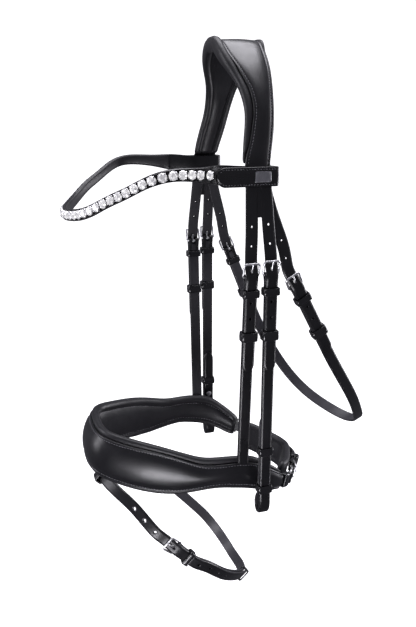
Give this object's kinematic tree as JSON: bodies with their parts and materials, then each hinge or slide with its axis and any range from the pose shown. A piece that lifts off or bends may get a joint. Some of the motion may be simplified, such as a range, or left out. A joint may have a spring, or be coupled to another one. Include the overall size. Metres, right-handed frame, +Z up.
{
  "type": "snaffle bridle",
  "caption": "Horse's snaffle bridle without bit or reins: padded headpiece, crystal browband, buckled cheekpieces, padded crank noseband with flash strap and throatlash",
  "frame": {"origin": "middle of the underside of the headpiece padding, where it rests on the poll", "axes": "+Z up, -Y towards the browband and the horse's forehead, +X the horse's left (near) side"},
  "size_m": [0.2108, 0.3399, 0.615],
  "materials": {
    "panel_leather": "smooth dyed black leather, semi-gloss, stitched along the edges",
    "strap_leather": "black bridle leather, polished edges, semi-gloss",
    "padding": "soft matte black nappa over foam",
    "buckle_steel": "polished stainless steel",
    "setting_metal": "bright silver-coloured claw settings",
    "plate_metal": "small plain satin plate",
    "crystal": "clear cut crystal"
  },
  "bodies": {
    "headpiece": {"headpiece_leather": "panel_leather", "headpiece_pad": "padding"},
    "near_cheekpiece": {"near_cheek_strap": "strap_leather", "near_cheek_buckle": "buckle_steel", "near_cheek_tail": "strap_leather", "near_cheek_keepers": "strap_leather", "near_hook_stud": "buckle_steel"},
    "far_cheekpiece": {"far_cheek_strap": "strap_leather", "far_cheek_buckle": "buckle_steel", "far_cheek_tail": "strap_leather", "far_cheek_keepers": "strap_leather", "far_hook_stud": "buckle_steel"},
    "noseband": {"noseband_leather": "panel_leather", "noseband_pad": "padding", "near_nose_strap": "strap_leather", "far_nose_strap": "strap_leather", "nose_buckles": "buckle_steel", "nose_tails": "strap_leather", "nose_fixed_keepers": "strap_leather", "flash_loop": "strap_leather", "chin_rings": "buckle_steel", "chin_tabs": "strap_leather", "chin_strap": "strap_leather", "chin_buckle": "buckle_steel", "chin_keepers": "strap_leather", "chin_billet": "strap_leather", "chin_pad": "padding"},
    "throatlash": {"throat_strap": "strap_leather", "throat_buckles": "buckle_steel", "throat_tails": "strap_leather", "throat_fixed_keepers": "strap_leather"},
    "flash": {"flash_strap": "strap_leather", "flash_buckle": "buckle_steel", "flash_fixed_keeper": "strap_leather"},
    "browband": {"browband_leather": "panel_leather", "browband_lining": "padding", "crystal_settings": "setting_metal", "browband_crystals": "crystal", "snap_posts": "buckle_steel"},
    "near_tab": {"near_tab": "strap_leather", "tab_plate": "plate_metal", "near_snap_socket": "buckle_steel"},
    "far_tab": {"far_tab": "strap_leather", "far_snap_socket": "buckle_steel"},
    "near_cheek_tongue": {"near_cheek_tongue": "buckle_steel"},
    "near_cheek_runner": {"near_cheek_runner": "strap_leather"},
    "far_cheek_tongue": {"far_cheek_tongue": "buckle_steel"},
    "far_cheek_runner": {"far_cheek_runner": "strap_leather"},
    "near_nose_tongue": {"near_nose_tongue": "buckle_steel"},
    "near_nose_runner": {"near_nose_runner": "strap_leather"},
    "far_nose_tongue": {"far_nose_tongue": "buckle_steel"},
    "far_nose_runner": {"far_nose_runner": "strap_leather"},
    "near_throat_tongue": {"near_throat_tongue": "buckle_steel"},
    "near_throat_runner": {"near_throat_runner": "strap_leather"},
    "far_throat_tongue": {"far_throat_tongue": "buckle_steel"},
    "far_throat_runner": {"far_throat_runner": "strap_leather"},
    "flash_tongue": {"flash_tongue": "buckle_steel"},
    "chin_tongue": {"chin_tongue": "buckle_steel"},
    "flash_end_keeper": {"flash_end_keeper": "strap_leather"}
  },
  "joints": [
    {"name": "near_cheek_swing", "type": "hinge", "parent": "headpiece", "child": "near_cheekpiece", "pos_m": [0.0977, 0, -0.1847], "axis": [0, 1, 0], "range_deg": [-5, 0]},
    {"name": "far_cheek_swing", "type": "hinge", "parent": "headpiece", "child": "far_cheekpiece", "pos_m": [-0.0977, 0, -0.1847], "axis": [0, 1, 0], "range_deg": [0, 5]},
    {"name": "noseband_swing", "type": "hinge", "parent": "headpiece", "child": "noseband", "pos_m": [0, -0.0183, -0.1867], "axis": [1, 0, 0], "range_deg": [-4, 0]},
    {"name": "throatlash_swing", "type": "hinge", "parent": "headpiece", "child": "throatlash", "pos_m": [0, 0.0225, -0.2], "axis": [1, 0, 0], "range_deg": [-3, 3], "stiffness_Nm_per_rad": 1.5, "springref_deg": 0.57},
    {"name": "flash_swing", "type": "hinge", "parent": "noseband", "child": "flash", "pos_m": [0, -0.15, -0.43], "axis": [1, 0, 0], "range_deg": [-5, 5], "stiffness_Nm_per_rad": 1.5, "springref_deg": 0.85},
    {"name": "browband_slide", "type": "slide", "parent": "headpiece", "child": "browband", "axis": [0, 0, 1], "range_m": [-0.004, 0.0008]},
    {"name": "near_tab_fold", "type": "hinge", "parent": "browband", "child": "near_tab", "pos_m": [0.089, 0.0074, -0.1075], "axis": [0, 0, 1], "range_deg": [0, 110]},
    {"name": "far_tab_fold", "type": "hinge", "parent": "browband", "child": "far_tab", "pos_m": [-0.089, 0.0074, -0.1075], "axis": [0, 0, 1], "range_deg": [-110, 0]},
    {"name": "near_cheek_tongue_lift", "type": "hinge", "parent": "near_cheekpiece", "child": "near_cheek_tongue", "pos_m": [0.0983, 0, -0.1955], "axis": [0, 1, 0], "range_deg": [0, 5]},
    {"name": "near_cheek_runner_slide", "type": "slide", "parent": "near_cheekpiece", "child": "near_cheek_runner", "axis": [0, 0, 1], "range_m": [-0.01, 0.01]},
    {"name": "far_cheek_tongue_lift", "type": "hinge", "parent": "far_cheekpiece", "child": "far_cheek_tongue", "pos_m": [-0.0983, 0, -0.1955], "axis": [0, -1, 0], "range_deg": [0, 5]},
    {"name": "far_cheek_runner_slide", "type": "slide", "parent": "far_cheekpiece", "child": "far_cheek_runner", "axis": [0, 0, 1], "range_m": [-0.01, 0.01]},
    {"name": "near_nose_tongue_lift", "type": "hinge", "parent": "noseband", "child": "near_nose_tongue", "pos_m": [0.09483, -0.0183, -0.19739], "axis": [0, 1, 0], "range_deg": [0, 5]},
    {"name": "near_nose_runner_slide", "type": "slide", "parent": "noseband", "child": "near_nose_runner", "axis": [0.062, 0, 0.9981], "range_m": [-0.01, 0.01]},
    {"name": "far_nose_tongue_lift", "type": "hinge", "parent": "noseband", "child": "far_nose_tongue", "pos_m": [-0.09483, -0.0183, -0.19739], "axis": [0, -1, 0], "range_deg": [0, 5]},
    {"name": "far_nose_runner_slide", "type": "slide", "parent": "noseband", "child": "far_nose_runner", "axis": [-0.062, 0, 0.9981], "range_m": [-0.01, 0.01]},
    {"name": "near_throat_tongue_lift", "type": "hinge", "parent": "throatlash", "child": "near_throat_tongue", "pos_m": [0.0944, 0.02779, -0.20908], "axis": [0, 0.8642, 0.5032], "range_deg": [0, 5]},
    {"name": "near_throat_runner_slide", "type": "slide", "parent": "throatlash", "child": "near_throat_runner", "axis": [0.131, -0.4988, 0.8567], "range_m": [-0.003, 0.01]},
    {"name": "far_throat_tongue_lift", "type": "hinge", "parent": "throatlash", "child": "far_throat_tongue", "pos_m": [-0.09544, 0.02643, -0.21], "axis": [0, -0.9309, -0.3653], "range_deg": [0, 5]},
    {"name": "far_throat_runner_slide", "type": "slide", "parent": "throatlash", "child": "far_throat_runner", "axis": [-0.033, -0.3651, 0.9304], "range_m": [-0.01, 0.01]},
    {"name": "flash_tongue_lift", "type": "hinge", "parent": "flash", "child": "flash_tongue", "pos_m": [0.07292, -0.08618, -0.4879], "axis": [0, 0.6969, 0.7171], "range_deg": [0, 5]},
    {"name": "chin_tongue_lift", "type": "hinge", "parent": "noseband", "child": "chin_tongue", "pos_m": [0.031, 0.06058, -0.43862], "axis": [0, 0.213, 0.977], "range_deg": [0, 5]},
    {"name": "flash_keeper_slide", "type": "slide", "parent": "flash", "child": "flash_end_keeper", "axis": [0.7515, -0.4297, 0.5006], "range_m": [-0.003, 0.003]}
  ]
}
